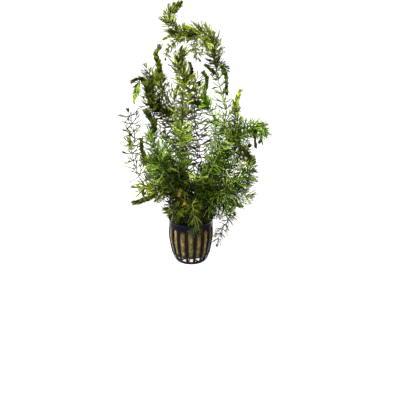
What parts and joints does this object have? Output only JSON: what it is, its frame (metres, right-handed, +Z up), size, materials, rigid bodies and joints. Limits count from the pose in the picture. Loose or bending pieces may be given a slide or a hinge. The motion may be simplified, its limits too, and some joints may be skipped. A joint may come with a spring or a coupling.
{
  "type": "potted hornwort",
  "caption": "Bunch of hornwort, a whorled water plant with fine forked needle leaves, in a small open-sided net pot filled with mineral wool.",
  "frame": {"origin": "middle of the pot's flat underside, on the surface that it stands on", "axes": "+Z up the plant, -Y to the side seen in front, +X to that view's right"},
  "size_m": [0.1635, 0.1114, 0.2895],
  "materials": {
    "pot_plastic": "satin moulded polypropylene",
    "mineral_wool": "matte fibrous, damp",
    "lime_leaf": "satin, waxy leaf",
    "green_leaf": "satin, waxy leaf",
    "deep_green_leaf": "satin, waxy leaf",
    "olive_leaf": "satin, waxy leaf",
    "dark_olive_leaf": "satin, waxy leaf",
    "pale_leaf": "satin, waxy leaf",
    "brown_leaf": "satin, waxy leaf"
  },
  "bodies": {
    "root": {"net_pot": "pot_plastic", "wool_plug": "mineral_wool", "centre_stem": "olive_leaf", "centre_side_tip": "dark_olive_leaf", "open_upper_shoot": "olive_leaf", "left_stem": "olive_leaf", "upper_left_shoot": "olive_leaf", "left_hook_shoot": "dark_olive_leaf", "left_hook_drop": "lime_leaf", "dark_olive_shoot": "dark_olive_leaf", "pale_left_shoot": "pale_leaf", "open_middle_shoot": "dark_olive_leaf", "right_stem": "deep_green_leaf", "front_middle_shoot": "deep_green_leaf", "inner_small_tip": "dark_olive_leaf", "arch_stem": "olive_leaf", "arch_tip_shoot": "olive_leaf", "arch_small_tip": "olive_leaf", "drooping_pale_shoot": "olive_leaf", "crest_hanging_shoot": "dark_olive_leaf", "crest_front_shoot": "olive_leaf", "outer_right_shoot": "deep_green_leaf", "inner_right_stem": "green_leaf", "inner_side_shoot": "deep_green_leaf", "green_left_stem": "deep_green_leaf", "green_middle_shoot": "deep_green_leaf", "green_low_shoot": "deep_green_leaf", "dark_left_tip": "dark_olive_leaf", "far_left_stem": "pale_leaf", "pale_small_tip": "lime_leaf", "low_left_stem": "olive_leaf", "low_left_tip": "olive_leaf", "left_middle_shoot": "deep_green_leaf", "rim_star_shoot": "dark_olive_leaf", "rim_brown_shoot": "brown_leaf", "right_bush_stem": "green_leaf", "lime_shoot": "lime_leaf", "bush_hanging_tip": "deep_green_leaf", "bush_inner_shoot": "green_leaf", "right_middle_shoot": "deep_green_leaf", "low_right_stem": "deep_green_leaf", "low_right_tip": "dark_olive_leaf", "low_right_middle_shoot": "olive_leaf", "low_right_outer_shoot": "deep_green_leaf", "low_right_front_shoot": "deep_green_leaf", "back_right_stem": "deep_green_leaf", "back_right_low_shoot": "green_leaf", "right_hanging_stem": "olive_leaf", "right_small_tip": "lime_leaf", "front_hanging_shoot": "dark_olive_leaf", "back_middle_stem": "dark_olive_leaf", "back_left_stem": "green_leaf", "back_low_left_shoot": "deep_green_leaf"}
  },
  "joints": []
}
